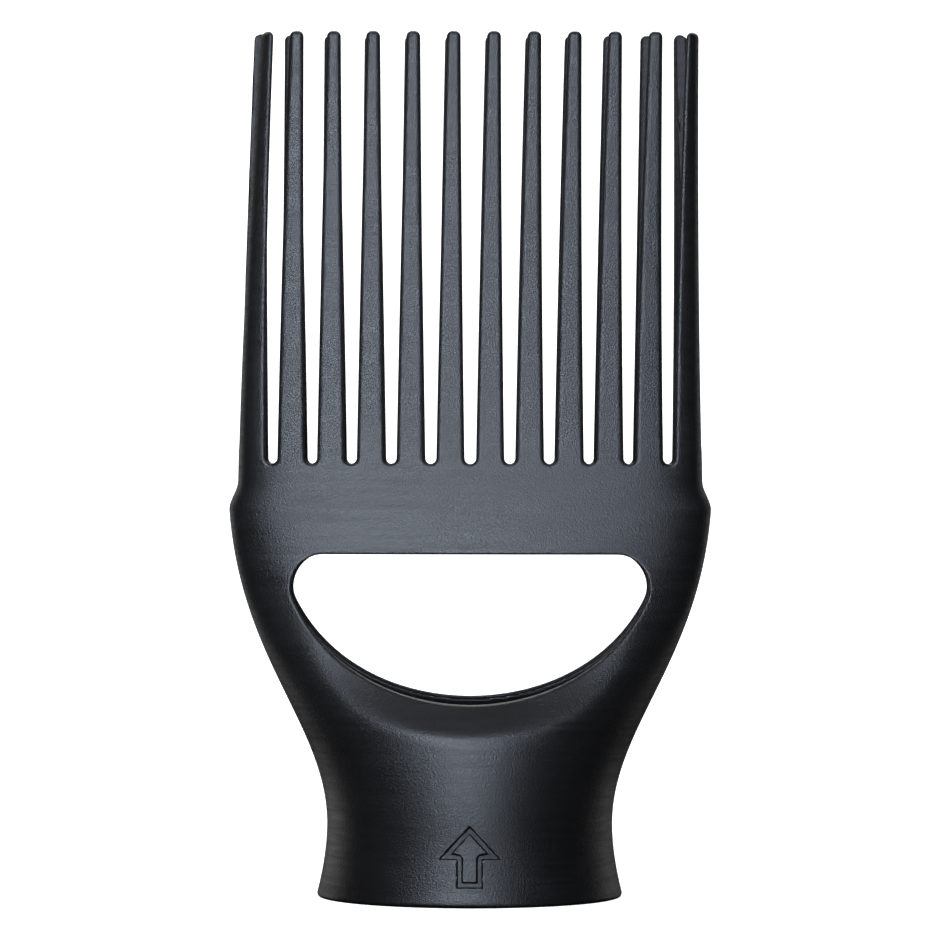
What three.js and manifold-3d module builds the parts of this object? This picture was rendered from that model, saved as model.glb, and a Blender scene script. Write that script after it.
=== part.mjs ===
// Comb nozzle for a hair dryer: two rows of long teeth on a hollow head, a see-through window under
// them, and a round collar that pushes onto the dryer's barrel.
// Millimetres, +Z up, origin at the middle of the collar's rim. The front faces -Y.
import * as THREE from "three";
import { mergeVertices } from "three/addons/utils/BufferGeometryUtils.js";
import Module from "manifold-3d";

const wasm = await Module();
wasm.setup();

// Driving dimensions of the outer form
const HEIGHT = 157.4; // collar rim to tooth tips
const RIM_RADIUS = 28;
const WAIST_RADIUS = 26;
const WAIST_Z = 13.2; // narrowest ring of the collar
const FLARE_TOP_Z = 76; // where the flare's curve would stand upright
const FLARE_TOP_RADIUS = 44.15;
const FLARE_LOW_HANDLE = 18.9;
const FLARE_HIGH_HANDLE = 31.6;
const SHOULDER_Z = 70.45; // the flare ends and steps in to the comb
const SHOULDER_HEIGHT = 5.3;
const COMB_HALF_WIDTH = 42.35; // at the foot of the teeth
const TIP_HALF_WIDTH = 40.35;
const BAND_ROUND_DEPTH = 13.5; // half depth of the ellipse that rounds the head's ends
const TIP_ROUND_DEPTH = 10.5;
const ROUND_START_Z = 30.5; // the round neck thins towards the band between these heights
const ROUND_END_Z = 58;
const COMB_ROUND_POWER = 2.7; // 2 is an ellipse, and more is a fuller section at the comb's ends
const BAND_HALF_DEPTH = 9.9; // flat front of the head
const TIP_HALF_DEPTH = 6.3;
const FRONT_BOW = 0.1; // how far the flat front falls away towards its ends, as a share
const SCOOP_DEPTH = 19; // how much deeper the neck is than the head
const SCOOP_START_Z = 28;
const SCOOP_END_Z = 64;
const SCOOP_POWER = 2.6;
const RIDGE_SHARPNESS = 30; // blend of the round neck with the scoop
const CORNER_SHARPNESS = 4.5; // blend of the flat front with the rounded ends

// Walls, seams and clearances
const WALL = 2.4;
const TIP_WALL = 2.2;
const GAP = 0.3; // between pieces that touch
const SHELL_TOP_Z = 81.2; // the shells carry the feet of the teeth up to here

// Window, seen from the front
const WINDOW_TOP_Z = 62.4;
const WINDOW_BOTTOM_Z = 35.7;
const WINDOW_RADIUS = 39.2;
const WINDOW_CORNER = 5.4;
const WINDOW_TAPER = 0.0036; // narrower above this height and wider below it, per millimetre
const WINDOW_TAPER_Z = 43.5;

// Teeth
const TEETH = 12; // in each row
const PITCH = 7.2;
const SLOT_FOOT_Z = 78.8;
const SLOT_FOOT_WIDTH = 2.1;
const TOOTH_FOOT_WIDTH = PITCH - SLOT_FOOT_WIDTH;
const TOOTH_TIP_WIDTH = 2.53;
const END_TOOTH_EXTRA = 0.45; // how much wider the end teeth are at their tips
const TIP_CHAMFER = 1.3;
const TIP_CHAMFER_WIDTH = 0.65;
const ROW_SLOT_HALF = 1.65; // between the rows at the comb's two ends
// How far the tips lean to the right: everywhere, by the row's spread, and as [extra, power] at each end
const FRONT_LEAN = { everywhere: 0.52, spread: 0.7, leftEnd: [2.4, 5], rightEnd: [0.1, 4] };
const REAR_LEAN = { everywhere: 0.2, spread: 1, leftEnd: [1.7, 12], rightEnd: [-2.1, 3] };
const LEAN_POWER = 1.8; // the teeth are straight at the foot and bend towards the tip

// Collar: the sleeve that grips the barrel, and its spring
const SOCKET_RADIUS = 24.4; // inside of the shells around the fingers
const GROOVE_RADIUS = 25.2;
const GROOVE_Z = [18.7, 21.3];
const SLEEVE_BOTTOM_Z = 1.5;
const SLEEVE_TOP_Z = 24.7;
const STOP_Z = 22.7; // the barrel's end rests here
const STOP_RADIUS = 20;
const BORE_RADIUS = 22.3;
const FINGER_OUTER_RADIUS = 23.3;
const FINGER_TOP_Z = 15;
const FINGERS = 8;
const FINGER_SLOT = 2;
const RIB_RADIUS = 24;
const SPRING_Z = [5.7, 9.3];
const SPRING_THICKNESS = 0.5;
const SPRING_OPENING = 0.3; // radians

// Inner duct between the collar and the window
const DUCT_WALL = 1.2;
const DUCT_TOP_Z = 49;
const DUCT_SETBACK = 0.6; // how far its edge stays behind the window's edge

// Posts that lock the two shells together in the head
const POST_X = 33.5;
const POST_Z = 68.2;
const POST_RADIUS = 1.6;
const POST_REACH = 3.2; // past the seam, into the front shell's socket
const BOSS_RADIUS = 3;
const BOSS_ROOT = 6.6; // the bosses start inside the shells' walls

// Engraved arrow on the collar's front
const ARROW_Z = [3.6, 14.4];
const ARROW_HALF_WIDTH = 5.4;
const ARROW_STEM_HALF = 2.2;
const ARROW_HEAD_HEIGHT = 5.8;
const ARROW_LINE = 0.9;
const ARROW_DEPTH = 0.4;

const PLASTIC = { color: 0x24262b, roughness: 0.5, metalness: 0 };
const LINER_PLASTIC = { color: 0x1b1c1f, roughness: 0.6, metalness: 0 };
const SPRING_STEEL = { color: 0x9a9da1, roughness: 0.3, metalness: 1 };

// ---- Outer form -------------------------------------------------------------------------------

const mix = (a, b, t) => a + (b - a) * THREE.MathUtils.clamp(t, 0, 1);

// The flare's side is one S-shaped curve that stands upright at both ends
const flareCurve = new THREE.CubicBezierCurve(
  new THREE.Vector2(WAIST_RADIUS, WAIST_Z),
  new THREE.Vector2(WAIST_RADIUS, WAIST_Z + FLARE_LOW_HANDLE),
  new THREE.Vector2(FLARE_TOP_RADIUS, FLARE_TOP_Z - FLARE_HIGH_HANDLE),
  new THREE.Vector2(FLARE_TOP_RADIUS, FLARE_TOP_Z),
);

/** Half width of the flare between the waist and the shoulder. */
function flareHalfWidth(z) {
  let low = 0;
  let high = 1;
  while (high - low > 1e-6) {
    const middle = (low + high) / 2;
    if (flareCurve.getPoint(middle).y < z) low = middle;
    else high = middle;
  }
  return flareCurve.getPoint(low).x;
}

/** Half width of the outline seen from the front. */
function halfWidth(z) {
  if (z < WAIST_Z) {
    return WAIST_RADIUS + (RIM_RADIUS - WAIST_RADIUS) * (1 - z / WAIST_Z) ** 1.8;
  }
  if (z <= SHOULDER_Z) return flareHalfWidth(z);
  const foot = SHOULDER_Z + SHOULDER_HEIGHT;
  const comb = mix(COMB_HALF_WIDTH, TIP_HALF_WIDTH, (z - foot) / (HEIGHT - foot));
  const step = flareHalfWidth(SHOULDER_Z) - COMB_HALF_WIDTH;
  return comb + step * (1 - THREE.MathUtils.smoothstep(z, SHOULDER_Z, foot));
}

/** Half depth of the round or elliptical section before the flats are cut. */
function roundDepth(z) {
  if (z < WAIST_Z) return halfWidth(z);
  const thinning = THREE.MathUtils.smoothstep(z, ROUND_START_Z, ROUND_END_Z);
  const neck = mix(WAIST_RADIUS, BAND_ROUND_DEPTH, thinning);
  return mix(neck, TIP_ROUND_DEPTH, (z - ROUND_END_Z) / (HEIGHT - ROUND_END_Z));
}

/** Half depth of the flats: a scoop from the neck up to the head, then a wedge to the tips. */
function flatDepth(z) {
  const left = Math.max((SCOOP_END_Z - z) / (SCOOP_END_Z - SCOOP_START_Z), 0);
  const wedge = mix(BAND_HALF_DEPTH, TIP_HALF_DEPTH, (z - SHOULDER_Z) / (HEIGHT - SHOULDER_Z));
  return wedge + SCOOP_DEPTH * left ** SCOOP_POWER;
}

/** Half depth at x on height z, of the surface that lies inset under the outer one. */
function halfDepth(x, z, inset) {
  const u = Math.min(Math.abs(x) / (halfWidth(z) - inset), 1);
  const power = mix(2, COMB_ROUND_POWER, (z - WINDOW_TOP_Z) / (SHELL_TOP_Z - WINDOW_TOP_Z));
  const round = (roundDepth(z) - inset) * (1 - u ** power) ** (1 / power);
  const flat = (flatDepth(z) - inset) * (1 - FRONT_BOW * u * u);
  const start = SCOOP_START_Z;
  const k = mix(RIDGE_SHARPNESS, CORNER_SHARPNESS, (z - start) / (WINDOW_TOP_Z - start));
  return round / (1 + (round / flat) ** k) ** (1 / k);
}

// ---- Solids -----------------------------------------------------------------------------------

/** Turns a closed geometry into a solid that can be cut. */
function solidOf(geometry) {
  geometry.deleteAttribute("normal");
  geometry.deleteAttribute("uv");
  const merged = mergeVertices(geometry, 1e-4);
  const vertProperties = Float32Array.from(merged.attributes.position.array);
  const triVerts = Uint32Array.from(merged.index.array);
  return new wasm.Manifold(new wasm.Mesh({ numProp: 3, vertProperties, triVerts }));
}

/** A closed solid through rings of points, from the lowest level to the highest. */
function loft(levels, ringPoint, sides) {
  const points = [];
  const triangles = [];
  levels.forEach((level) => {
    for (let i = 0; i < sides; i += 1) points.push(...ringPoint(level, (2 * Math.PI * i) / sides));
  });
  const top = levels.length - 1;
  points.push(0, 0, levels[0].z, 0, 0, levels[top].z);
  const bottomCentre = levels.length * sides;
  for (let i = 0; i < sides; i += 1) {
    const next = (i + 1) % sides;
    triangles.push(bottomCentre, next, i);
    triangles.push(bottomCentre + 1, top * sides + i, top * sides + next);
    for (let row = 0; row < top; row += 1) {
      const a = row * sides;
      const b = a + sides;
      triangles.push(a + i, a + next, b + next, a + i, b + next, b + i);
    }
  }
  const geometry = new THREE.BufferGeometry();
  geometry.setAttribute("position", new THREE.Float32BufferAttribute(points, 3));
  geometry.setIndex(triangles);
  return solidOf(geometry);
}

/** The outer form, or the form that lies inset under it, between the given heights. */
function body(levels, sides = 44) {
  const ringPoint = ({ z, inset }, angle) => {
    const x = (halfWidth(z) - inset) * Math.cos(angle);
    return [x, Math.sign(Math.sin(angle).toFixed(9)) * halfDepth(x, z, inset), z];
  };
  return loft(levels, ringPoint, sides);
}

const at = (heights, inset) => heights.map((z) => ({ z, inset }));

/** A prism along Y whose outline is drawn in X and Z. */
function prism(shape, from, to, curveSegments = 8) {
  const options = { depth: to - from, bevelEnabled: false, curveSegments };
  const geometry = new THREE.ExtrudeGeometry(shape, options);
  geometry.rotateX(Math.PI / 2);
  geometry.translate(0, to, 0);
  return solidOf(geometry);
}

const outline = (points) => new THREE.Shape(points.map(([x, z]) => new THREE.Vector2(x, z)));

function box(width, depth, height, x, y, z) {
  return solidOf(new THREE.BoxGeometry(width, depth, height).translate(x, y, z));
}

/** A turned solid about the Z axis from a closed profile of [radius, z] points. */
function turned(profile, sides = 40) {
  const points = profile.map(([radius, z]) => new THREE.Vector2(radius, z));
  points.push(points[0].clone());
  return solidOf(new THREE.LatheGeometry(points, sides).rotateX(Math.PI / 2));
}

/** A round bar along Y. */
function bar(radius, from, to, x, z) {
  const geometry = new THREE.CylinderGeometry(radius, radius, to - from, 14);
  return solidOf(geometry.translate(x, (from + to) / 2, z));
}

function meshOf(name, solid, look) {
  const { vertProperties, triVerts } = solid.getMesh();
  const geometry = new THREE.BufferGeometry();
  geometry.setAttribute("position", new THREE.BufferAttribute(vertProperties, 3));
  geometry.setIndex(new THREE.BufferAttribute(triVerts, 1));
  geometry.computeVertexNormals();
  const mesh = new THREE.Mesh(geometry, new THREE.MeshStandardMaterial(look));
  mesh.name = name;
  return mesh;
}

/** The half of a solid in front of the seam (side -1) or behind it (side 1). */
function halfOf(solid, side, clearance = GAP / 2) {
  const size = 4 * HEIGHT;
  return solid.intersect(box(size, size, size, 0, side * (size / 2 + clearance), 0));
}

// ---- Shells -----------------------------------------------------------------------------------

/** The window as a prism: a flat top, two round corners and one wide arc that tapers upwards. */
function windowPrism(grow) {
  const top = WINDOW_TOP_Z + grow;
  const radius = WINDOW_RADIUS + grow;
  const corner = WINDOW_CORNER + grow;
  const arcZ = WINDOW_BOTTOM_Z + WINDOW_RADIUS;
  const cornerZ = top - corner;
  const cornerX = Math.sqrt((radius - corner) ** 2 - (arcZ - cornerZ) ** 2);
  const turn = Math.atan2(cornerZ - arcZ, cornerX);
  const shape = new THREE.Shape();
  shape.moveTo(-cornerX, top);
  shape.absarc(-cornerX, cornerZ, corner, Math.PI / 2, Math.PI - turn, false);
  shape.absarc(0, arcZ, radius, Math.PI - turn, 2 * Math.PI + turn, false);
  shape.absarc(cornerX, cornerZ, corner, turn, Math.PI / 2, false);
  return prism(shape, -HEIGHT / 2, HEIGHT / 2, 12).warp((vertex) => {
    vertex[0] *= 1 + WINDOW_TAPER * (WINDOW_TAPER_Z - vertex[2]);
  });
}

/** The round foot of one slot between two teeth. */
function slotFoot(x) {
  const half = SLOT_FOOT_WIDTH / 2;
  const shape = new THREE.Shape();
  shape.moveTo(x + half, SHELL_TOP_Z + 1);
  shape.lineTo(x - half, SHELL_TOP_Z + 1);
  shape.absarc(x, SLOT_FOOT_Z + half, half, Math.PI, 2 * Math.PI, false);
  return prism(shape, -HEIGHT / 2, HEIGHT / 2, 6);
}

// Heights of the rings that the air way's walls run through, under the window and above it
const NECK_LEVELS = [28, 31, 34, 38, 43, DUCT_TOP_Z];
const HEAD_LEVELS = [56, 62, 70, 73, 76.5, SHELL_TOP_Z + 1];

/** The hollow of both shells: the sleeve's socket below, and the air way above it. */
function hollow() {
  const [grooveLow, grooveHigh] = GROOVE_Z;
  const socket = turned([
    [0, -1],
    [SOCKET_RADIUS + 1.6, -1],
    [SOCKET_RADIUS, 0.8],
    [SOCKET_RADIUS, grooveLow],
    [GROOVE_RADIUS, grooveLow],
    [GROOVE_RADIUS, grooveHigh],
    [SOCKET_RADIUS - GAP, grooveHigh],
    [SOCKET_RADIUS - GAP, SLEEVE_TOP_Z + GAP],
    [0, SLEEVE_TOP_Z + GAP],
  ]);
  return socket.add(body(at([SLEEVE_TOP_Z, ...NECK_LEVELS, ...HEAD_LEVELS], WALL)));
}

/** The arrow as a thin prism ring that is cut ARROW_DEPTH into the collar's front. */
function arrowCut() {
  const [low, high] = ARROW_Z;
  const arrow = (inner) => {
    const slope = ARROW_HEAD_HEIGHT / ARROW_HALF_WIDTH;
    const neck = high - ARROW_HEAD_HEIGHT;
    const wide = ARROW_HALF_WIDTH - inner * 2;
    const stem = ARROW_STEM_HALF - inner;
    const tip = neck + inner + wide * slope;
    return outline([
      [stem, low + inner],
      [stem, neck + inner],
      [wide, neck + inner],
      [0, tip],
      [-wide, neck + inner],
      [-stem, neck + inner],
      [-stem, low + inner],
    ]);
  };
  const line = prism(arrow(0), -HEIGHT, 0).subtract(prism(arrow(ARROW_LINE), -HEIGHT, 0));
  const heights = [2, 5, 8, 11, 14, 17];
  return line.intersect(body(at(heights, -1)).subtract(body(at(heights, ARROW_DEPTH))));
}

/** Both shells in one, before they are parted at the seam. */
function wholeShell() {
  const rim = [
    { z: 0, inset: 0.9 },
    { z: 0.3, inset: 0.3 },
    { z: 1, inset: 0 },
  ];
  const flare = [5, 9, 13.2, 18, 23, 27, 30, 32, 35, 39, 44, 50, 56, 62, 67, SHOULDER_Z];
  const comb = [72, 73.5, 75, 76.5, SHELL_TOP_Z];
  let shell = body([...rim, ...at([...flare, ...comb], 0)]).subtract(hollow());
  shell = shell.subtract(windowPrism(0));
  for (let slot = 1; slot < TEETH; slot += 1) shell = shell.subtract(slotFoot((slot - TEETH / 2) * PITCH));
  return shell;
}

/** Front shell, with the sockets that take the rear shell's posts. */
function frontShell(shell) {
  let front = halfOf(shell, -1).subtract(arrowCut());
  [-POST_X, POST_X].forEach((x) => {
    const boss = bar(BOSS_RADIUS, -BOSS_ROOT, -GAP / 2, x, POST_Z);
    front = front.add(boss.subtract(bar(POST_RADIUS + GAP, -POST_REACH - GAP, 0, x, POST_Z)));
  });
  return meshOf("front_shell", front, PLASTIC);
}

/** Rear shell, with its two locking posts. */
function rearShell(shell) {
  let rear = halfOf(shell, 1);
  [-POST_X, POST_X].forEach((x) => {
    rear = rear.add(bar(BOSS_RADIUS, GAP / 2, BOSS_ROOT, x, POST_Z));
    rear = rear.add(bar(POST_RADIUS, -POST_REACH, BOSS_ROOT, x, POST_Z));
  });
  return meshOf("rear_shell", rear, PLASTIC);
}

// ---- Teeth ------------------------------------------------------------------------------------

/** The comb's hollow wall from the shells' top to the tips, open between the rows at both ends. */
function combWall() {
  const foot = SHELL_TOP_Z + GAP;
  const shoulder = HEIGHT - TIP_CHAMFER;
  const third = (shoulder - foot) / 3;
  const outer = at([foot, foot + third, foot + 2 * third, shoulder], 0);
  outer.push({ z: HEIGHT, inset: TIP_CHAMFER_WIDTH });
  const inner = [
    { z: foot - 1, inset: WALL },
    { z: shoulder, inset: TIP_WALL },
    { z: HEIGHT, inset: TIP_WALL - TIP_CHAMFER_WIDTH },
    { z: HEIGHT + 1, inset: TIP_WALL - TIP_CHAMFER_WIDTH },
  ];
  const slot = box(4 * TIP_HALF_WIDTH, 2 * ROW_SLOT_HALF, 2 * HEIGHT, 0, 0, HEIGHT);
  return body(outer).subtract(body(inner)).subtract(slot);
}

const toothCentre = (index) => (index - (TEETH - 1) / 2) * PITCH;

/** The outline of one tooth from the front, wide at the foot and chamfered at the tip. */
function toothOutline(index) {
  const centre = toothCentre(index);
  const foot = TOOTH_FOOT_WIDTH / 2;
  const tip = TOOTH_TIP_WIDTH / 2;
  const point = tip - TIP_CHAMFER_WIDTH;
  // The end teeth reach out to the comb's side, so their outline runs past it there
  const left = index === 0 ? PITCH : 0;
  const right = index === TEETH - 1 ? PITCH : 0;
  const shift = Math.sign(left - right) * END_TOOTH_EXTRA;
  return outline([
    [centre - foot - left, SHELL_TOP_Z - 1],
    [centre + foot + right, SHELL_TOP_Z - 1],
    [centre + tip + right + shift, HEIGHT - TIP_CHAMFER],
    [centre + point + right + shift, HEIGHT + 0.01],
    [centre - point - left + shift, HEIGHT + 0.01],
    [centre - tip - left + shift, HEIGHT - TIP_CHAMFER],
  ]);
}

/** How far one tooth's tip leans to the right. */
function tipLean(index, { everywhere, spread, leftEnd, rightEnd }) {
  const along = toothCentre(index) / TIP_HALF_WIDTH;
  const [extra, power] = along < 0 ? leftEnd : rightEnd;
  return everywhere + spread * along + extra * Math.abs(along) ** power;
}

/** Bends a tooth to the side, by nothing at its foot and by the given amount at its tip. */
function lean(solid, amount) {
  return solid.warp((vertex) => {
    const rise = Math.max((vertex[2] - SHELL_TOP_Z) / (HEIGHT - SHELL_TOP_Z), 0);
    vertex[0] += amount * rise ** LEAN_POWER;
  });
}

/** The twelve teeth of one row. */
function toothRow(side, name, leans) {
  const wall = halfOf(combWall(), side);
  return Array.from({ length: TEETH }, (_, index) => {
    const tooth = wall.intersect(prism(toothOutline(index), -HEIGHT, HEIGHT));
    const label = `${name}_tooth_${String(index + 1).padStart(2, "0")}`;
    return meshOf(label, lean(tooth, tipLean(index, leans)), PLASTIC);
  });
}

// ---- Inside -----------------------------------------------------------------------------------

/** Liner that leads the air from the collar up to the window's lower edge. */
function innerDuct() {
  const outside = WALL + GAP;
  const foot = SLEEVE_TOP_Z + 2 * GAP;
  const outer = body(at([foot, ...NECK_LEVELS], outside));
  const inner = body(at([foot - 1, ...NECK_LEVELS, DUCT_TOP_Z + 1], outside + DUCT_WALL));
  const duct = outer.subtract(inner).subtract(windowPrism(DUCT_SETBACK));
  return meshOf("inner_duct", duct, LINER_PLASTIC);
}

/** Sleeve that grips the dryer's barrel: a ring with a stop ledge, and fingers under it. */
function barrelSleeve() {
  const [springLow, springHigh] = SPRING_Z;
  const [grooveLow, grooveHigh] = GROOVE_Z;
  const outer = FINGER_OUTER_RADIUS;
  let sleeve = turned([
    [outer - 0.4, SLEEVE_BOTTOM_Z],
    [outer, SLEEVE_BOTTOM_Z + 0.4],
    [outer, springLow - 1.2],
    [RIB_RADIUS, springLow - 1.2],
    [RIB_RADIUS, springLow - GAP],
    [outer, springLow - GAP],
    [outer, springHigh + GAP],
    [RIB_RADIUS, springHigh + GAP],
    [RIB_RADIUS, springHigh + 1.2],
    [outer, springHigh + 1.2],
    [outer, FINGER_TOP_Z],
    [RIB_RADIUS, FINGER_TOP_Z + 1],
    [RIB_RADIUS, grooveLow + GAP],
    [GROOVE_RADIUS - GAP, grooveLow + GAP],
    [GROOVE_RADIUS - GAP, grooveHigh - GAP],
    [SOCKET_RADIUS - 2 * GAP, grooveHigh - GAP],
    [SOCKET_RADIUS - 2 * GAP, SLEEVE_TOP_Z],
    [STOP_RADIUS, SLEEVE_TOP_Z],
    [STOP_RADIUS, STOP_Z],
    [BORE_RADIUS, STOP_Z],
    [BORE_RADIUS, 7],
    [BORE_RADIUS - 0.4, 5.4],
    [BORE_RADIUS - 0.4, 4.4],
    [outer - 0.6, SLEEVE_BOTTOM_Z],
  ]);
  for (let i = 0; i < FINGERS / 2; i += 1) {
    const cut = new THREE.BoxGeometry(4 * RIM_RADIUS, FINGER_SLOT, 2 * FINGER_TOP_Z);
    sleeve = sleeve.subtract(solidOf(cut.rotateZ(((i + 0.5) * 2 * Math.PI) / FINGERS)));
  }
  return meshOf("barrel_sleeve", sleeve, LINER_PLASTIC);
}

/** Split spring band around the fingers, open at the back. */
function springBand() {
  const inner = FINGER_OUTER_RADIUS + GAP;
  const start = Math.PI / 2 + SPRING_OPENING / 2;
  const end = start + 2 * Math.PI - SPRING_OPENING;
  const shape = new THREE.Shape();
  shape.absarc(0, 0, inner + SPRING_THICKNESS, start, end, false);
  shape.absarc(0, 0, inner, end, start, true);
  const [low, high] = SPRING_Z;
  const options = { depth: high - low, bevelEnabled: false, curveSegments: 32 };
  const band = new THREE.ExtrudeGeometry(shape, options).translate(0, 0, low);
  return meshOf("spring_band", solidOf(band), SPRING_STEEL);
}

const nozzle = new THREE.Group();
const shell = wholeShell();
nozzle.add(frontShell(shell), rearShell(shell), innerDuct(), barrelSleeve(), springBand());
nozzle.add(...toothRow(-1, "front", FRONT_LEAN), ...toothRow(1, "rear", REAR_LEAN));

export default nozzle;
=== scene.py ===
import math

import bpy
import numpy as np
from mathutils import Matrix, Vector


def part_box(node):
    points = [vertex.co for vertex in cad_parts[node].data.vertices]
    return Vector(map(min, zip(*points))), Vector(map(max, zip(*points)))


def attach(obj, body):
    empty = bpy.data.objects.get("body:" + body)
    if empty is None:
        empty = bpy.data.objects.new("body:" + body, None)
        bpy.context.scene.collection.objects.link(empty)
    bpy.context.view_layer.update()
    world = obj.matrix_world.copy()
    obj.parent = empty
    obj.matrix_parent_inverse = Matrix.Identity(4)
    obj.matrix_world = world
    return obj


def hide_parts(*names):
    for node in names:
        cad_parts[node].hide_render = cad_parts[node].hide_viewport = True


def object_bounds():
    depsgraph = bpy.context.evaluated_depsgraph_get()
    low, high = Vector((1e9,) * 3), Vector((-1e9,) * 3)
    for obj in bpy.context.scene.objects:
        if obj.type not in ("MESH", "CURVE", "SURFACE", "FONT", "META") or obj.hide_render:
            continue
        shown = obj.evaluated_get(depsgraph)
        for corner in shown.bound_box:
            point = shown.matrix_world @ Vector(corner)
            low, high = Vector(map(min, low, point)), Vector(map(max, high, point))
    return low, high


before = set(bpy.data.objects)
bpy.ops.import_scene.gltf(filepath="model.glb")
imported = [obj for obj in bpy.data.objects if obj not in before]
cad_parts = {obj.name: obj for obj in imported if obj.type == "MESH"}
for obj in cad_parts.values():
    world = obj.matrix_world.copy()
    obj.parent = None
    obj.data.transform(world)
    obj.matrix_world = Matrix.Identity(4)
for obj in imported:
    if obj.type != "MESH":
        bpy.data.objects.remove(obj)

# The looks of a comb nozzle for a hair dryer. The shapes below are worked out in millimetres, in
# the frame's own axes, and become Blender meshes in metres. The front faces -Y.
CAD_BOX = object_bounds()
MM = 0.001


def frame_height(node):
    """The top of a CAD node, in millimetres."""
    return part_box(node)[1].z / MM


# ---- Dimensions: the CAD's, with the small radii that the moulded pieces have -------------------

HEIGHT = CAD_BOX[1].z / MM
SHELL_TOP_Z = frame_height("front_shell")
RIM_RADIUS = 28.0
RIM_FLARE_POWER = 1.8
WAIST_RADIUS = 26.0
WAIST_Z = 13.2
FLARE_TOP_Z = 76.0
FLARE_TOP_RADIUS = 44.15
FLARE_LOW_HANDLE = 18.9
FLARE_HIGH_HANDLE = 31.6
SHOULDER_Z = 70.45
SHOULDER_HEIGHT = 5.3
COMB_HALF_WIDTH = 42.35
TIP_HALF_WIDTH = 40.35
BAND_ROUND_DEPTH = 13.5
TIP_ROUND_DEPTH = 10.5
ROUND_START_Z = 30.5
ROUND_END_Z = 58.0
COMB_ROUND_POWER = 2.7  # 2 is an ellipse, as below the head; the teeth are squarer
BAND_HALF_DEPTH = 9.9
TIP_HALF_DEPTH = 6.3
FRONT_BOW = 0.1
SCOOP_DEPTH = 19.0
SCOOP_START_Z = 28.0
SCOOP_END_Z = 64.0
SCOOP_POWER = 2.6
RIDGE_SHARPNESS = 30.0
CORNER_SHARPNESS = 4.5

WALL = 2.4
TIP_WALL = 2.2
SEAM_HALF_GAP = 0.05
WINDOW_TOP_Z = 62.4
WINDOW_BOTTOM_Z = 35.7
WINDOW_RADIUS = 39.2
WINDOW_CORNER = 5.4
WINDOW_TAPER = 0.0036
WINDOW_TAPER_Z = 43.5

PITCH = 7.2
TEETH = 12  # in each row
SLOTS_EACH_SIDE = 5
SLOT_FOOT_Z = 78.8
SLOT_FOOT_HALF = 1.05
SLOT_TIP_HALF = 2.335
END_TOOTH_SHIFT = 0.45
TOOTH_HALF = 1.9  # a tooth keeps its width this far from its middle, however it leans
ROW_SLOT_HALF = 1.65
# How far the tips lean to the right: everywhere, by the place along the row, and as (extra, power)
# towards each end of the row.
FRONT_LEAN = {"everywhere": 0.52, "spread": 0.7, "left_end": (2.4, 5), "right_end": (0.1, 4)}
REAR_LEAN = {"everywhere": 0.2, "spread": 1.0, "left_end": (1.7, 12), "right_end": (-2.1, 3)}
LEAN_POWER = 1.8

SOCKET_RADIUS = 24.4
SOCKET_OVERLAP = 0.5  # how far the socket's wall runs up into the groove
LEAD_IN_Z = (1.0, 4.0)  # where the lead-in meets the socket's wall, and where it is cut off
LEAD_IN_SLOPE = 0.9
LEAD_IN_SCALE = 0.74  # makes the sloping lead-in a distance
GROOVE_RADIUS = 25.2
GROOVE_Z = (18.7, 21.3)
GAP = 0.3
SLEEVE_BOTTOM_Z = 1.5
SLEEVE_TOP_Z = frame_height("barrel_sleeve")
STOP_Z = 22.7
STOP_RADIUS = 20.0
BORE_RADIUS = 22.3
BORE_BEAD_Z = (4.0, 5.8)
BORE_BEAD_HEIGHT = 0.4
FINGER_OUTER_RADIUS = 23.3
FINGER_TOP_Z = 15.0
FINGERS = 8
FINGER_SLOT_HALF = 1.0
RIB_RADIUS = 24.0
RIB_HEIGHT = 0.9
SPRING_Z = (5.7, 9.3)
SPRING_THICKNESS = 0.5
SPRING_OPENING = 0.3  # radians, at the back

POST_X = 33.5
POST_Z = 68.2
POST_RADIUS = 1.6
POST_REACH = 3.2
BOSS_RADIUS = 3.0
BOSS_SETBACK = 0.15  # from the seam

DUCT_WALL = 1.2
DUCT_TOP_Z = frame_height("inner_duct")
DUCT_SETBACK = 0.6

ARROW_Z = (3.6, 14.4)
ARROW_HALF_WIDTH = 5.4
ARROW_STEM_HALF = 2.2
ARROW_HEAD_HEIGHT = 5.8
ARROW_LINE = 0.9
ARROW_DEPTH = 0.4

RIM_ROUND = 0.9
WINDOW_ROUND = 0.5
TOOTH_ROUND = 0.8
TIP_ROUND = 1.1
INNER_ROUND = 0.35
SEAM_ROUND = 0.25
ENGRAVED_ROUND = 0.14

WEAR_DEPTH = 0.4  # how far under the surface the edge mask looks


# ---- Outer form: the same formulas as the CAD's ------------------------------------------------

def mix(a, b, t):
    return a + (b - a) * np.clip(t, 0, 1)


def smoothstep(t):
    t = np.clip(t, 0, 1)
    return t * t * (3 - 2 * t)


def flare_half_width(z):
    """Half width of the flare between the waist and the shoulder, from one Bezier curve."""
    t = np.linspace(0, 1, 600)
    low = WAIST_Z + FLARE_LOW_HANDLE
    high = FLARE_TOP_Z - FLARE_HIGH_HANDLE
    curve_z = (1 - t) ** 3 * WAIST_Z + 3 * (1 - t) ** 2 * t * low + 3 * (1 - t) * t**2 * high
    curve_z += t**3 * FLARE_TOP_Z
    curve_x = mix(WAIST_RADIUS, FLARE_TOP_RADIUS, smoothstep(t))
    return np.interp(z, curve_z, curve_x)


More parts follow.
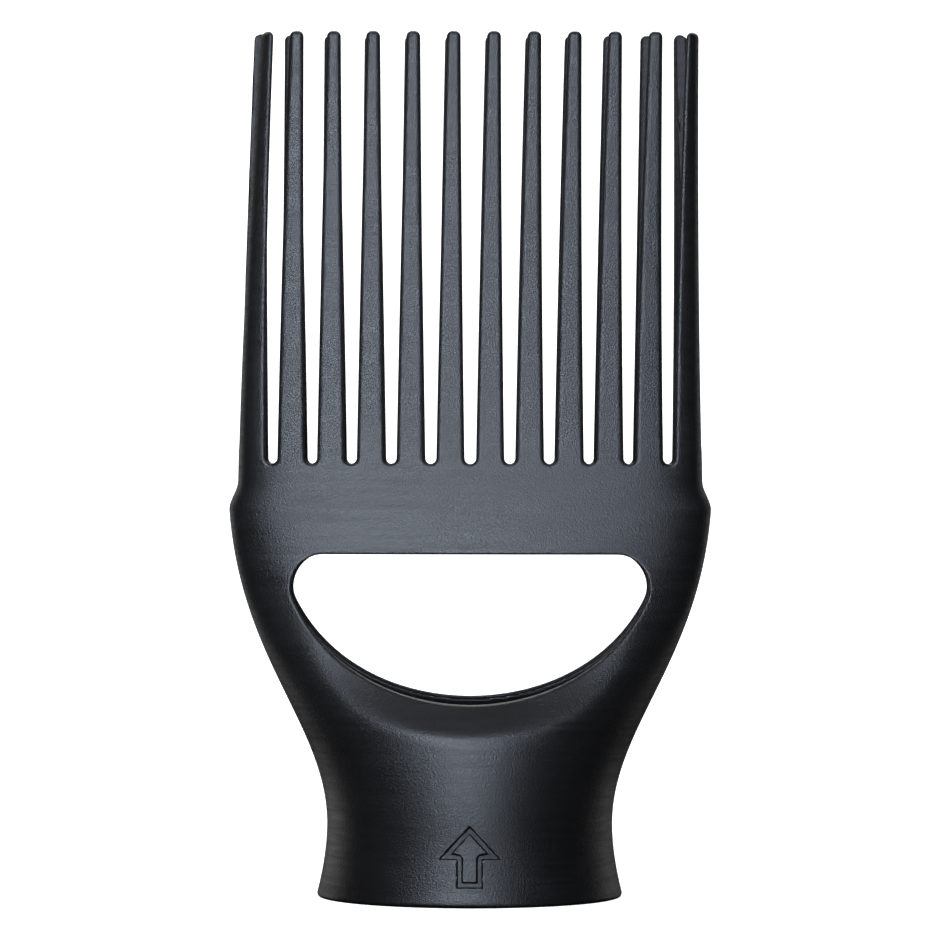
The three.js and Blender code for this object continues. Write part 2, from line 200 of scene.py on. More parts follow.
def half_width(z):
    """Half width of the outline seen from the front."""
    below_waist = np.clip(1 - z / WAIST_Z, 0, 2)
    rim = WAIST_RADIUS + (RIM_RADIUS - WAIST_RADIUS) * below_waist**RIM_FLARE_POWER
    foot = SHOULDER_Z + SHOULDER_HEIGHT
    comb = mix(COMB_HALF_WIDTH, TIP_HALF_WIDTH, (z - foot) / (HEIGHT - foot))
    step = flare_half_width(SHOULDER_Z) - COMB_HALF_WIDTH
    comb = comb + step * (1 - smoothstep((z - SHOULDER_Z) / SHOULDER_HEIGHT))
    return np.where(z < WAIST_Z, rim, np.where(z <= SHOULDER_Z, flare_half_width(z), comb))


def round_depth(z):
    """Half depth of the round or elliptical section before the flats are cut."""
    thinning = smoothstep((z - ROUND_START_Z) / (ROUND_END_Z - ROUND_START_Z))
    neck = mix(WAIST_RADIUS, BAND_ROUND_DEPTH, thinning)
    comb = mix(neck, TIP_ROUND_DEPTH, (z - ROUND_END_Z) / (HEIGHT - ROUND_END_Z))
    return np.where(z < WAIST_Z, half_width(z), comb)


def flat_depth(z):
    """Half depth of the flats: a scoop from the neck up to the head, then a wedge to the tips."""
    left = np.clip((SCOOP_END_Z - z) / (SCOOP_END_Z - SCOOP_START_Z), 0, None)
    wedge = mix(BAND_HALF_DEPTH, TIP_HALF_DEPTH, (z - SHOULDER_Z) / (HEIGHT - SHOULDER_Z))
    return wedge + SCOOP_DEPTH * left**SCOOP_POWER


def squared_half_depth(x, z, inset):
    """The surface's half depth squared, which runs on below zero outside the outline."""
    u = np.abs(x) / (half_width(z) - inset)
    u2 = u**2
    power = mix(2, COMB_ROUND_POWER, (z - WINDOW_TOP_Z) / (SHELL_TOP_Z - WINDOW_TOP_Z))
    left = 1 - u**power
    round2 = (round_depth(z) - inset) ** 2 * np.sign(left) * np.abs(left) ** (2 / power)
    flat = (flat_depth(z) - inset) * (1 - FRONT_BOW * np.minimum(u2, 1))
    k = mix(RIDGE_SHARPNESS, CORNER_SHARPNESS, (z - SCOOP_START_Z) / (WINDOW_TOP_Z - SCOOP_START_Z))
    ratio = np.clip(np.sqrt(np.clip(round2, 0, None)) / flat, 0, 20)
    return round2 / (1 + ratio**k) ** (2 / k)


def form(x, y, z, inset=0.0):
    """Distance to the outer form, or to the form that lies inset under it: below zero inside."""
    step = 0.02
    depth2 = squared_half_depth(x, z, inset)
    slope_x = (squared_half_depth(x + step, z, inset) - depth2) / step
    slope_z = (squared_half_depth(x, z + step, inset) - depth2) / step
    return (y**2 - depth2) / np.sqrt(4 * y**2 + slope_x**2 + slope_z**2 + 1e-6)


# ---- Solids as distances: below zero inside ----------------------------------------------------

def trim(a, b, radius):
    """What a and b share, with the edge between them rounded to the radius."""
    outside = np.hypot(np.maximum(a + radius, 0), np.maximum(b + radius, 0))
    return np.minimum(np.maximum(a, b), -radius) + outside


def join(a, b, radius):
    """a and b together, with the corner between them filled to the radius."""
    return -trim(-a, -b, radius)


def slab(value, low, high):
    return np.maximum(low - value, value - high)


def ring(radius, z, inner, outer, low, high, rounding):
    """A round ring with a rectangular section."""
    return trim(slab(radius, inner, outer), slab(z, low, high), rounding)


def outline_distance(points, x, z):
    """Distance to a closed outline of (x, z) points: below zero inside."""
    nearest = np.full(np.broadcast(x, z).shape, np.inf)
    inside = np.zeros(nearest.shape, bool)
    for (ax, az), (bx, bz) in zip(points, points[1:] + points[:1]):
        dx, dz = bx - ax, bz - az
        along = np.clip(((x - ax) * dx + (z - az) * dz) / (dx**2 + dz**2), 0, 1)
        nearest = np.minimum(nearest, np.hypot(x - ax - along * dx, z - az - along * dz))
        if dz != 0:
            inside ^= ((az > z) != (bz > z)) & (x < ax + (z - az) * dx / dz)
    return np.where(inside, -nearest, nearest)


def window(x, z, grow=0.0):
    """The see-through window in the front view: a flat top, round corners and one wide arc."""
    x = x / (1 + WINDOW_TAPER * (WINDOW_TAPER_Z - z))
    arc_z = WINDOW_BOTTOM_Z + WINDOW_RADIUS
    reach = WINDOW_RADIUS - WINDOW_CORNER
    corner_z = WINDOW_TOP_Z - WINDOW_CORNER
    corner_x = math.sqrt(reach**2 - (arc_z - corner_z) ** 2)
    from_centre = np.hypot(x, z - arc_z)
    in_corner = (np.abs(x) > corner_x) & ((z - arc_z) * reach > (corner_z - arc_z) * from_centre)
    corner = np.hypot(np.abs(x) - corner_x, z - corner_z)
    sides = np.maximum(from_centre - reach, z - corner_z)
    return np.where(in_corner, corner, sides) - WINDOW_CORNER - grow


def tip_lean(along, lean):
    """How far the tip of a tooth leans to the right, from its place along the row, -1 to 1."""
    extra, power = lean["left_end"] if along < 0 else lean["right_end"]
    return lean["everywhere"] + lean["spread"] * along + extra * abs(along) ** power


def upright(x, z, lean):
    """x with the teeth's sideways lean taken out. Each tooth leans as one piece."""
    centres = PITCH * (np.arange(TEETH) - (TEETH - 1) / 2)
    edges = np.concatenate([centres - TOOTH_HALF, centres + TOOTH_HALF])
    leans = [tip_lean(centre / TIP_HALF_WIDTH, lean) for centre in centres] * 2
    order = np.argsort(edges)
    rise = np.clip((z - SHELL_TOP_Z) / (HEIGHT - SHELL_TOP_Z), 0, 1) ** LEAN_POWER
    straight = x
    for _ in range(4):
        straight = x - rise * np.interp(straight, edges[order], np.array(leans)[order])
    return straight


def tooth_slots(x, z):
    """The slots between the teeth in the front view: below zero in a slot."""
    centre_z = SLOT_FOOT_Z + SLOT_FOOT_HALF
    slot = np.clip(np.round(x / PITCH), -SLOTS_EACH_SIDE, SLOTS_EACH_SIDE)
    off = x - slot * PITCH
    rise = np.clip((z - centre_z) / (HEIGHT - centre_z), 0, 1)
    last = (np.abs(slot) == SLOTS_EACH_SIDE) & (off * slot > 0)
    half = SLOT_FOOT_HALF + (SLOT_TIP_HALF - SLOT_FOOT_HALF) * rise - END_TOOTH_SHIFT * rise * last
    return np.where(z > centre_z, np.abs(off) - half, np.hypot(off, z - centre_z) - SLOT_FOOT_HALF)


def row_slot(y, z):
    """The slot between the two rows of teeth, seen from the side."""
    centre_z = SHELL_TOP_Z + ROW_SLOT_HALF
    foot = np.hypot(y, z - centre_z) - ROW_SLOT_HALF
    return np.where(z > centre_z, np.abs(y) - ROW_SLOT_HALF, foot)


def socket(x, y, z):
    """The round hollow that takes the sleeve, with its groove and lead-in."""
    radius = np.hypot(x, y)
    bore = np.maximum(radius - SOCKET_RADIUS, z - GROOVE_Z[0] - SOCKET_OVERLAP)
    lead_in = (radius - SOCKET_RADIUS + (z - LEAD_IN_Z[0]) * LEAD_IN_SLOPE) * LEAD_IN_SCALE
    bore = join(bore, np.maximum(lead_in, z - LEAD_IN_Z[1]), 0.3)
    groove = trim(radius - GROOVE_RADIUS, slab(z, *GROOVE_Z), 0.3)
    collar = np.maximum(radius - SOCKET_RADIUS + GAP, slab(z, GROOVE_Z[0], SLEEVE_TOP_Z + GAP))
    return np.minimum(np.minimum(bore, groove), collar)


def air_way(x, y, z):
    """The hollow above the sleeve, right up between the teeth."""
    wall = mix(WALL, TIP_WALL, (z - SHELL_TOP_Z) / (HEIGHT - SHELL_TOP_Z))
    return np.maximum(form(x, y, z, wall), SLEEVE_TOP_Z - z)


def arrow(x, y, z):
    """The engraved outline of an upward arrow on the collar's front."""
    low, high = ARROW_Z
    neck = high - ARROW_HEAD_HEIGHT
    right = [(ARROW_STEM_HALF, low), (ARROW_STEM_HALF, neck), (ARROW_HALF_WIDTH, neck)]
    left = [(-px, pz) for px, pz in reversed(right)]
    inside = outline_distance([*right, (0, high), *left], x, z)
    line = np.abs(inside + ARROW_LINE / 2) - ARROW_LINE / 2
    return trim(line, -ARROW_DEPTH - form(x, y, z), ENGRAVED_ROUND)


def shell(x, y, z, side, lean):
    """One shell with its teeth. y runs outwards from the seam, on the front and the rear alike."""
    x = upright(x, z, lean)
    body = trim(form(x, y, z), -z, RIM_ROUND)
    body = trim(body, -np.minimum(socket(x, y, z), air_way(x, y, z)), INNER_ROUND)
    body = trim(body, -window(x, z), WINDOW_ROUND)
    body = trim(body, -row_slot(y, z), INNER_ROUND)
    body = trim(body, -tooth_slots(x, z), TOOTH_ROUND)
    body = trim(body, z - HEIGHT, TIP_ROUND)
    body = trim(body, SEAM_HALF_GAP - y, SEAM_ROUND)
    return side(body, x, y, z)


def post_axis(x, z):
    """Distance to the nearer of the two posts' axes."""
    return np.hypot(np.abs(x) - POST_X, z - POST_Z)


def post_boss(radius, x, y, z):
    """The boss round a post or its socket, which ends inside the shell's wall."""
    return np.maximum(np.maximum(radius - BOSS_RADIUS, BOSS_SETBACK - y), form(x, y, z, WALL / 2))


def as_front(body, x, y, z):
    """What only the front shell has: two sockets for the rear shell's posts, and the arrow."""
    radius = post_axis(x, z)
    boss = post_boss(radius, x, y, z)
    hole = np.maximum(radius - POST_RADIUS - GAP, y - POST_REACH - GAP)
    body = trim(join(body, boss, 0.5), -hole, 0.2)
    return trim(body, -arrow(x, y, z), ENGRAVED_ROUND)


def as_rear(body, x, y, z):
    """What only the rear shell has: two posts, which reach past the seam."""
    radius = post_axis(x, z)
    boss = post_boss(radius, x, y, z)
    pin = trim(radius - POST_RADIUS, np.maximum(-y - POST_REACH, y - 5), 0.4)
    return join(join(body, boss, 0.5), pin, 0.2)


def duct(x, y, z):
    """The liner between the sleeve and the window's lower edge."""
    outside = form(x, y, z, WALL + GAP)
    inside = form(x, y, z, WALL + GAP + DUCT_WALL)
    ends = slab(z, SLEEVE_TOP_Z + 2 * GAP, DUCT_TOP_Z)
    wall = trim(outside, -inside, 0.2)
    return trim(trim(wall, ends, 0.35), -window(x, z, DUCT_SETBACK), 0.35)


def finger_slots(x, y, z):
    """The slots between the sleeve's fingers, with round tops."""
    sector = 2 * math.pi / FINGERS
    angle = np.arctan2(y, x) / sector - 0.5
    off = np.hypot(x, y) * np.sin((angle - np.round(angle)) * sector)
    top = FINGER_TOP_Z - FINGER_SLOT_HALF
    return np.where(z < top, np.abs(off), np.hypot(off, z - top)) - FINGER_SLOT_HALF


def sleeve(x, y, z):
    """The sleeve that grips the barrel: slotted fingers, a stop ledge and the bead it turns on."""
    radius = np.hypot(x, y)
    fingers = ring(radius, z, BORE_RADIUS, FINGER_OUTER_RADIUS, SLEEVE_BOTTOM_Z, STOP_Z, 0.3)
    body = ring(radius, z, BORE_RADIUS, RIB_RADIUS, FINGER_TOP_Z + 0.5, SLEEVE_TOP_Z, 0.3)
    ledge = ring(radius, z, STOP_RADIUS, SOCKET_RADIUS - 2 * GAP, STOP_Z, SLEEVE_TOP_Z, 0.5)
    bead_z = (GROOVE_Z[0] + GAP, GROOVE_Z[1] - GAP)
    turning_bead = ring(radius, z, BORE_RADIUS, GROOVE_RADIUS - GAP, *bead_z, 0.3)
    bead_radius = BORE_RADIUS - BORE_BEAD_HEIGHT
    grip_bead = ring(radius, z, bead_radius, FINGER_OUTER_RADIUS, *BORE_BEAD_Z, 0.4)
    solid = join(join(fingers, body, 0.3), join(ledge, turning_bead, 0.2), 0.3)
    for low in (SPRING_Z[0] - GAP - RIB_HEIGHT, SPRING_Z[1] + GAP):
        rib = ring(radius, z, BORE_RADIUS, RIB_RADIUS, low, low + RIB_HEIGHT, 0.25)
        solid = join(solid, rib, 0.15)
    return trim(join(solid, grip_bead, 0.4), -finger_slots(x, y, z), 0.25)


def spring(x, y, z):
    """The split steel band round the fingers."""
    inner = FINGER_OUTER_RADIUS + GAP
    strip = ring(np.hypot(x, y), z, inner, inner + SPRING_THICKNESS, *SPRING_Z, 0.2)
    half_opening = SPRING_OPENING / 2 * inner
    opening = np.maximum(np.abs(x) - half_opening, -y)
    return trim(strip, -opening, 0.2)


# ---- Meshes from distances ---------------------------------------------------------------------

CORNERS = np.array([(i, j, k) for i in (0, 1) for j in (0, 1) for k in (0, 1)])
EDGES = [
    (a, b) for a in range(8) for b in range(a + 1, 8) if np.abs(CORNERS[a] - CORNERS[b]).sum() == 1
]


def lines(*stretches):
    """Grid lines from (start, end, spacing) stretches that follow each other."""
    coarser = 1.0
    parts = []
    for start, end, spacing in stretches:
        count = max(int(round((end - start) / (spacing * coarser))), 1)
        parts.append(np.linspace(start, end, count, endpoint=False))
    return np.concatenate(parts + [[stretches[-1][1]]])


def cell_points(grid, values, cells):
    """The middle of each cell's surface crossings."""
    corner_values = []
    corner_points = []
    for di, dj, dk in CORNERS:
        index = (cells[0] + di, cells[1] + dj, cells[2] + dk)
        corner_values.append(values[index])
        corner_points.append(np.stack([grid[axis][index[axis]] for axis in range(3)], axis=1))
    total = np.zeros((len(cells[0]), 3))
    count = np.zeros(len(cells[0]))
    for a, b in EDGES:
        va, vb = corner_values[a], corner_values[b]
        crosses = (va < 0) != (vb < 0)
        share = np.where(crosses, va / np.where(crosses, va - vb, 1), 0)[:, None]
        crossing = corner_points[a] + share * (corner_points[b] - corner_points[a])
        total += crossing * crosses[:, None]
        count += crosses
    return total / count[:, None]


def grid_faces(inside, vertex_of):
    """One quad round each grid edge that the surface crosses."""
    faces = []
    for axis in range(3):
        u, v = (axis + 1) % 3, (axis + 2) % 3
        low = np.take(inside, range(inside.shape[axis] - 1), axis)
        high = np.take(inside, range(1, inside.shape[axis]), axis)
        crossed = np.nonzero(low != high)
        inner = np.ones(len(crossed[0]), bool)
        for other in (u, v):
            inner &= (crossed[other] > 0) & (crossed[other] < inside.shape[other] - 1)
        crossed = [c[inner] for c in crossed]
        quad = []
        for du, dv in ((-1, -1), (0, -1), (0, 0), (-1, 0)):
            cell = list(crossed)
            cell[u] = cell[u] + du
            cell[v] = cell[v] + dv
            quad.append(vertex_of[tuple(cell)])
        quad = np.stack(quad, axis=1)
        leaving = low[tuple(crossed)]
        faces.append(np.where(leaving[:, None], quad, quad[:, ::-1]))
    return np.concatenate(faces)


def slope(solid, points, step=0.02):
    """The distance at each point and its gradient."""
    x, y, z = points.T
    value = solid(x, y, z)
    gradient = np.stack(
        [solid(x + step, y, z), solid(x, y + step, z), solid(x, y, z + step)], axis=1
    )
    return value, (gradient - value[:, None]) / step


def settle(solid, points, reach=0.3):
    """Moves points on to the surface along its gradient."""
    value, gradient = slope(solid, points)
    move = value[:, None] * gradient / np.maximum((gradient**2).sum(axis=1), 0.05)[:, None]
    length = np.linalg.norm(move, axis=1)[:, None]
    return points - move * np.minimum(1, reach / np.maximum(length, 1e-9))


def relax(points, faces):
    """Evens out the spacing of the points: each moves halfway to the middle of its neighbours."""
    total = np.zeros_like(points)
    count = np.zeros(len(points))
    for corner in range(4):
        a, b = faces[:, corner], faces[:, (corner + 1) % 4]
        for here, there in ((a, b), (b, a)):
            for axis in range(3):
                total[:, axis] += np.bincount(here, points[there, axis], len(points))
            count += np.bincount(here, minlength=len(points))
    return 0.5 * points + 0.5 * total / count[:, None]


def mesh_solid(name, solid, grid):
    """A Blender object of the solid's surface, with exact normals and masks for its material."""
    x, y, z = grid
    values = solid(x[:, None, None], y[None, :, None], z[None, None, :])
    values = np.broadcast_to(values, (len(x), len(y), len(z)))
    inside = values < 0
    corner_count = sum(
        inside[i : i + len(x) - 1, j : j + len(y) - 1, k : k + len(z) - 1].astype(np.int8)
        for i, j, k in CORNERS
    )
    cells = np.nonzero((corner_count > 0) & (corner_count < 8))
    vertex_of = np.full(corner_count.shape, -1, np.int32)
    vertex_of[cells] = np.arange(len(cells[0]))
    faces = grid_faces(inside, vertex_of)
    points = settle(solid, cell_points(grid, values, cells))
    for _ in range(3):
        points = settle(solid, relax(points, faces))
    points = settle(solid, points, 0.05)
    _, normals = slope(solid, points, 0.01)
    normals /= np.maximum(np.linalg.norm(normals, axis=1), 1e-9)[:, None]
    behind = points - WEAR_DEPTH * normals
    worn = np.clip((solid(*behind.T) + WEAR_DEPTH) / WEAR_DEPTH, 0, 1)
    under = np.clip(-form(*points.T) / WALL, 0, 1)
    return object_from(name, points, faces, normals, {"edge_wear": worn, "under_the_skin": under})


def object_from(name, points, faces, normals, masks):
    """A smooth Blender mesh from quads in millimetres, with a float attribute for each mask."""
    mesh = bpy.data.meshes.new(name)
    mesh.vertices.add(len(points))
    mesh.vertices.foreach_set("co", (points * MM).astype(np.float32).ravel())
    mesh.loops.add(faces.size)
    mesh.loops.foreach_set("vertex_index", faces.astype(np.int32).ravel())
    mesh.polygons.add(len(faces))
    mesh.polygons.foreach_set("loop_start", np.arange(0, faces.size, 4, dtype=np.int32))
    mesh.update(calc_edges=True)
    mesh.polygons.foreach_set("use_smooth", np.ones(len(faces), bool))
    mesh.normals_split_custom_set_from_vertices(normals.astype(np.float32))
    for mask, values in masks.items():
        attribute = mesh.attributes.new(mask, "FLOAT", "POINT")
        attribute.data.foreach_set("value", values.astype(np.float32))
    piece = bpy.data.objects.new(name, mesh)
    bpy.context.scene.collection.objects.link(piece)
    return piece


# ---- Pieces ------------------------------------------------------------------------------------

def shell_grid(sign, middle_spacing, collar_spacing):
    """Grid lines for a shell. The front one is finer across the collar's middle, for the arrow."""
    across = lines((-44.8, -6, 0.62), (-6, 6, middle_spacing), (6, 44.8, 0.62))
    outwards = lines((-4, 11, 0.4), (11, 28.6, 0.5))
    up = lines(
        (-0.6, 3, 0.35),  # rim
        (3, 15, collar_spacing),  # collar, with the arrow
        (15, 29, 0.9),  # neck
        (29, 34, 0.6),
        (34, 61, 0.55),  # window
        (61, 64, 0.35),  # window's top edge
        (64, 70, 0.7),
        (70, 77, 0.55),  # shoulders
        (77, 82, 0.35),  # slot feet
        (82, 154, 2.0),  # straight teeth
        (154, 158.1, 0.3),  # tips
    )
    return across, np.sort(sign * outwards), up


def make_shell(name, sign, side, lean, grid):
    """A shell and its twelve teeth as one piece, on the side of the seam that sign says."""
    piece = mesh_solid(name, lambda x, y, z: shell(x, sign * y, z, side, lean), grid)
    row = name.split("_")[0]
    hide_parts(f"{row}_shell", *[f"{row}_tooth_{i:02d}" for i in range(1, TEETH + 1)])
    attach(piece, "comb_body")
    return piece


def make_inner_piece(name, solid, grid, node_name, body):
    """A piece that stands for one CAD node."""
    piece = mesh_solid(name, solid, grid)
    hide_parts(node_name)
    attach(piece, body)
    return piece


def make_duct():
    grid = (lines((-38.5, 38.5, 0.45)), lines((-24.5, 24.5, 0.45)), lines((24.7, 50, 0.42)))
    return make_inner_piece("duct_liner", duct, grid, "inner_duct", "comb_body")


def make_sleeve():
    across = lines((-25.5, 25.5, 0.36))
    grid = (across, across, lines((0.9, 25.3, 0.36)))
    return make_inner_piece("grip_sleeve", sleeve, grid, "barrel_sleeve", "sleeve")


def make_spring():
    across = lines((-24.6, 24.6, 0.25))
    grid = (across, across, lines((5.3, 9.7, 0.25)))
    return make_inner_piece("steel_band", spring, grid, "spring_band", "sleeve")


# ---- Materials ---------------------------------------------------------------------------------

def node(tree, kind, **settings):
    """A shader node with its properties and input values set by name."""
    made = tree.nodes.new(kind)
    for key, value in settings.items():
        if hasattr(made, key):
            setattr(made, key, value)
        else:
            made.inputs[key.replace("_", " ")].default_value = value
    return made


GRAIN_SIZE = 0.00028  # metres
GRAIN_HEIGHT = 0.0001
STREAK_SCALE = (60, 60, 1500)  # thin along z and long round the piece
STREAK_GLOSS = 0.08  # how far a streak's roughness is from the average
EDGE_POLISH = -0.12
TINT_RANGE = (0.9, 1.15)


def plastic(name, colour, roughness, inner_roughness):
    """Moulded plastic: grain, faint flow streaks, polished edges and duller inner faces."""
    material = bpy.data.materials.new(name)
    material.use_nodes = True
    tree = material.node_tree
    shader = tree.nodes["Principled BSDF"]
    shader.inputs["Specular IOR Level"].default_value = 0.5
    where = node(tree, "ShaderNodeTexCoord").outputs["Object"]
    link = tree.links.new

    grain = node(tree, "ShaderNodeTexNoise", Scale=1 / GRAIN_SIZE, Detail=2.0, Roughness=0.55)
    link(where, grain.inputs["Vector"])
    cloud = node(tree, "ShaderNodeTexNoise", Scale=90.0, Detail=3.0)
    link(where, cloud.inputs["Vector"])
    stretch = node(tree, "ShaderNodeMapping")
    stretch.inputs["Scale"].default_value = STREAK_SCALE
    link(where, stretch.inputs["Vector"])
    streak = node(tree, "ShaderNodeTexNoise", Scale=1.0, Detail=2.0)
    link(stretch.outputs["Vector"], streak.inputs["Vector"])
    edge = node(tree, "ShaderNodeAttribute", attribute_name="edge_wear")
    inner = node(tree, "ShaderNodeAttribute", attribute_name="under_the_skin")

    tint = node(tree, "ShaderNodeMix", data_type="RGBA")
    for end, factor in zip("AB", TINT_RANGE):
        tint.inputs[end].default_value = (*[c * factor for c in colour], 1)
    link(cloud.outputs["Fac"], tint.inputs["Factor"])
    link(tint.outputs["Result"], shader.inputs["Base Color"])

    rough = node(tree, "ShaderNodeMapRange")
    rough.inputs["From Min"].default_value = 0.3
    rough.inputs["From Max"].default_value = 0.7
    rough.inputs["To Min"].default_value = roughness - STREAK_GLOSS
    rough.inputs["To Max"].default_value = roughness + STREAK_GLOSS
    link(streak.outputs["Fac"], rough.inputs["Value"])
    # Each of these two adds its mask times a factor to the roughness so far.
    polished = node(tree, "ShaderNodeMath", operation="MULTIPLY_ADD")
    polished.inputs[1].default_value = EDGE_POLISH
    link(edge.outputs["Fac"], polished.inputs[0])
    link(rough.outputs["Result"], polished.inputs[2])
    dull = node(tree, "ShaderNodeMath", operation="MULTIPLY_ADD")
    dull.inputs[1].default_value = inner_roughness - roughness
    link(inner.outputs["Fac"], dull.inputs[0])
    link(polished.outputs["Value"], dull.inputs[2])
    link(dull.outputs["Value"], shader.inputs["Roughness"])

    bump = node(tree, "ShaderNodeBump", Strength=1.0)
    bump.inputs["Distance"].default_value = GRAIN_HEIGHT
    link(grain.outputs["Fac"], bump.inputs["Height"])
    link(bump.outputs["Normal"], shader.inputs["Normal"])
    return material


def spring_steel():
    """Rolled steel strip: fine lines along the band, faint stains and rubbed edges."""
    material = bpy.data.materials.new("spring_steel")
    material.use_nodes = True
    tree = material.node_tree
    shader = tree.nodes["Principled BSDF"]
    shader.inputs["Metallic"].default_value = 1.0
    where = node(tree, "ShaderNodeTexCoord").outputs["Object"]
    link = tree.links.new

    stretch = node(tree, "ShaderNodeMapping")
    stretch.inputs["Scale"].default_value = (120, 120, 14000)
    link(where, stretch.inputs["Vector"])
    rolled = node(tree, "ShaderNodeTexNoise", Scale=1.0, Detail=3.0)
    link(stretch.outputs["Vector"], rolled.inputs["Vector"])
    stain = node(tree, "ShaderNodeTexNoise", Scale=220.0, Detail=4.0)
    link(where, stain.inputs["Vector"])
    edge = node(tree, "ShaderNodeAttribute", attribute_name="edge_wear")

    tint = node(tree, "ShaderNodeMix", data_type="RGBA")
    tint.inputs["A"].default_value = (0.46, 0.45, 0.43, 1)
    tint.inputs["B"].default_value = (0.62, 0.62, 0.61, 1)
    link(stain.outputs["Fac"], tint.inputs["Factor"])
    link(tint.outputs["Result"], shader.inputs["Base Color"])

    rough = node(tree, "ShaderNodeMapRange")
    rough.inputs["To Min"].default_value = 0.24
    rough.inputs["To Max"].default_value = 0.42
    link(rolled.outputs["Fac"], rough.inputs["Value"])
    rubbed = node(tree, "ShaderNodeMath", operation="MULTIPLY_ADD")
    rubbed.inputs[1].default_value = -0.1
    link(edge.outputs["Fac"], rubbed.inputs[0])
    link(rough.outputs["Result"], rubbed.inputs[2])
    link(rubbed.outputs["Value"], shader.inputs["Roughness"])

    bump = node(tree, "ShaderNodeBump", Strength=0.4)
    bump.inputs["Distance"].default_value = 0.000006
    link(rolled.outputs["Fac"], bump.inputs["Height"])
    link(bump.outputs["Normal"], shader.inputs["Normal"])
    return material


def put_on(piece, material):
    piece.data.materials.clear()
    piece.data.materials.append(material)


# ---- Stage, light and camera -------------------------------------------------------------------

def stage():
    """A pale floor that curves up into a backdrop behind the object. Sizes are in metres."""
    front_y, curve_y, curve_radius = -1.2, 0.5, 0.5
    curve_steps = 16
    top_z = 1.8
    half_length = 2.0
    profile = [(front_y, 0.0), (curve_y, 0.0)]
    for i in range(1, curve_steps + 1):
        angle = math.pi / 2 * i / curve_steps
        rise = curve_radius - curve_radius * math.cos(angle)
        profile.append((curve_y + curve_radius * math.sin(angle), rise))
    profile.append((curve_y + curve_radius, top_z))
    mesh = bpy.data.meshes.new("backdrop")
    points = [(x, y, z) for y, z in profile for x in (-half_length, half_length)]
    faces = [(2 * i, 2 * i + 1, 2 * i + 3, 2 * i + 2) for i in range(len(profile) - 1)]
    mesh.from_pydata(points, [], faces)
    for polygon in mesh.polygons:
        polygon.use_smooth = True
    floor = bpy.data.objects.new("backdrop", mesh)
    bpy.context.scene.collection.objects.link(floor)
    material = bpy.data.materials.new("pale_paper")
    material.use_nodes = True
    shader = material.node_tree.nodes["Principled BSDF"]
    shader.inputs["Base Color"].default_value = (0.9, 0.9, 0.9, 1)
    shader.inputs["Roughness"].default_value = 0.9
    shader.inputs["Emission Color"].default_value = (1, 1, 1, 1)
    shader.inputs["Emission Strength"].default_value = 0.86
    put_on(floor, material)
    floor.visible_glossy = False
    floor.visible_diffuse = False


def around(azimuth, elevation, distance):
    """A place at a distance from the object's middle. Azimuth runs from the camera to the right."""
    turn, tilt = math.radians(azimuth), math.radians(elevation)
    level = math.cos(tilt)
    away = Vector((math.sin(turn) * level, -math.cos(turn) * level, math.sin(tilt)))
    return MIDDLE + distance * away


def softbox(name, place, target, size, power, colour):
    """A rectangular lamp that faces its target and isn't seen itself."""
    light = bpy.data.lights.new(name, "AREA")
    light.shape = "RECTANGLE"
    light.size, light.size_y = size
    light.energy = power
    light.color = colour
    lamp = bpy.data.objects.new(name, light)
    bpy.context.scene.collection.objects.link(lamp)
    lamp.location = place
    lamp.rotation_euler = (Vector(place) - Vector(target)).to_track_quat("Z", "Y").to_euler()
    lamp.visible_camera = False


MIDDLE = Vector((0, 0, HEIGHT * MM / 2))
TEETH_MIDDLE = Vector((0, 0, 0.12))
COOL = (0.9, 1.01, 1.2)
PLAIN = (1, 1, 1)


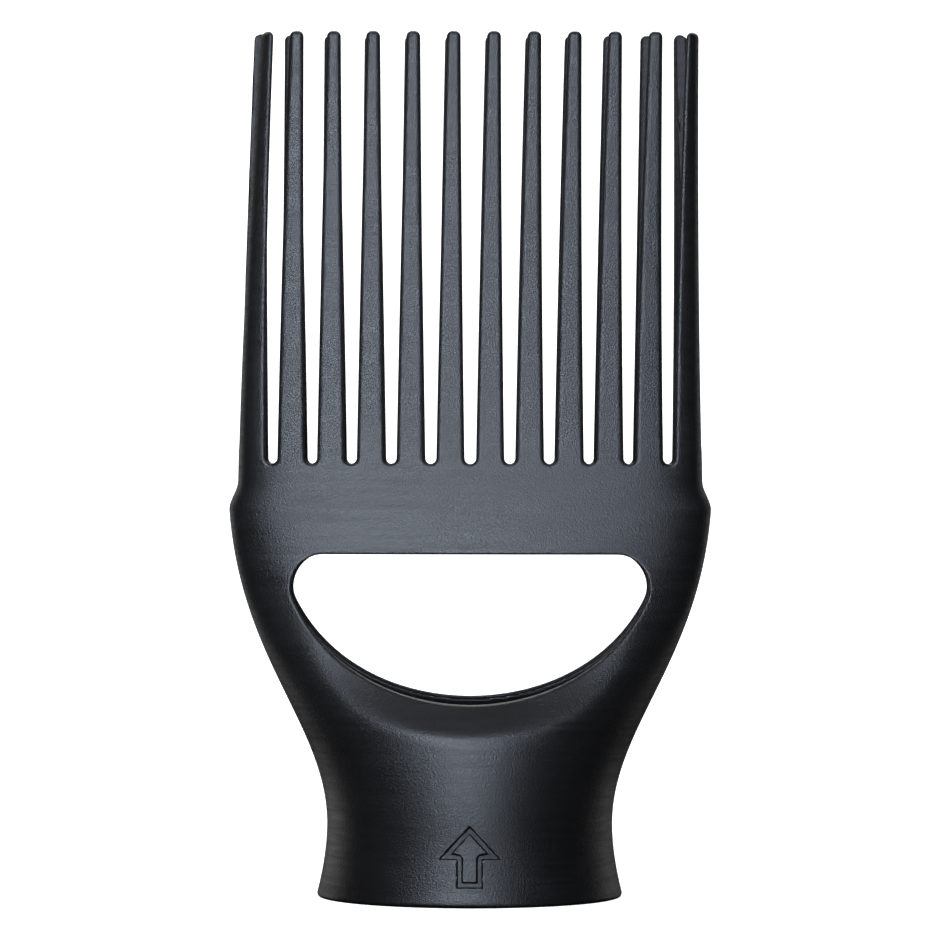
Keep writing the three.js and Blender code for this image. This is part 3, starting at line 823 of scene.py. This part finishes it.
def lights():
    """Cool boxes in front, strips behind the sides, and the floor's glow under the neck."""
    softbox("front", around(-4, 12, 1.15), MIDDLE, (0.25, 0.25), 3.5, COOL)
    softbox("high_front", around(-4, 40, 1.15), MIDDLE, (0.6, 0.25), 5.8, COOL)
    softbox("low_right", around(20, 0, 1.15), MIDDLE, (0.25, 0.25), 0.9, COOL)
    softbox("near_left", (-0.13, -0.38, 0.22), TEETH_MIDDLE, (0.08, 0.08), 0.55, COOL)
    softbox("floor_glow", (-0.03, -0.19, 0.003), (-0.03, -0.19, 1), (0.12, 0.12), 0.92, COOL)
    softbox("side_left", around(-65, 10, 1.0), MIDDLE, (0.5, 0.9), 0.13, PLAIN)
    softbox("rim_left", around(-140, 10, 1.0), MIDDLE, (0.4, 1.0), 1.0, PLAIN)
    softbox("rim_right", around(140, 10, 1.0), MIDDLE, (0.4, 1.0), 0.6, PLAIN)
    softbox("overhead", around(0, 88, 0.9), MIDDLE, (0.8, 0.8), 0.6, PLAIN)
    softbox("behind", around(180, 45, 1.1), MIDDLE, (1.0, 0.6), 8.0, PLAIN)
    world = bpy.data.worlds.new("studio")
    bpy.context.scene.world = world
    world.use_nodes = True
    background = world.node_tree.nodes["Background"]
    background.inputs["Color"].default_value = (1, 1, 1, 1)
    background.inputs["Strength"].default_value = 0.01


def camera():
    """Level with the middle of the object, in front of it, with a long lens."""
    distance = 0.93
    view_width = 0.1715  # at the object's middle
    height = 0.0777
    side_shift = -0.00005
    roll = -0.1  # degrees
    sensor_width = 36
    data = bpy.data.cameras.new("camera")
    data.sensor_width = sensor_width
    data.lens = sensor_width * distance / view_width
    data.clip_end = 20
    eye = bpy.data.objects.new("camera", data)
    eye.location = (side_shift, -distance, height)
    eye.rotation_euler = (math.pi / 2, math.radians(roll), 0)
    bpy.context.scene.collection.objects.link(eye)
    bpy.context.scene.camera = eye


camera()
stage()
lights()
shell_look = plastic(
    "shell_plastic", (0.0065, 0.006, 0.0057), roughness=0.36, inner_roughness=0.62
)
liner_look = plastic("liner_plastic", (0.013, 0.0135, 0.015), roughness=0.5, inner_roughness=0.5)
steel_look = spring_steel()
front_grid = shell_grid(-1, middle_spacing=0.24, collar_spacing=0.24)
rear_grid = shell_grid(1, middle_spacing=0.55, collar_spacing=0.5)
put_on(make_shell("front_half", -1, as_front, FRONT_LEAN, front_grid), shell_look)
put_on(make_shell("rear_half", 1, as_rear, REAR_LEAN, rear_grid), shell_look)
put_on(make_duct(), liner_look)
put_on(make_sleeve(), liner_look)
put_on(make_spring(), steel_look)
bpy.context.scene.view_settings.view_transform = "Standard"
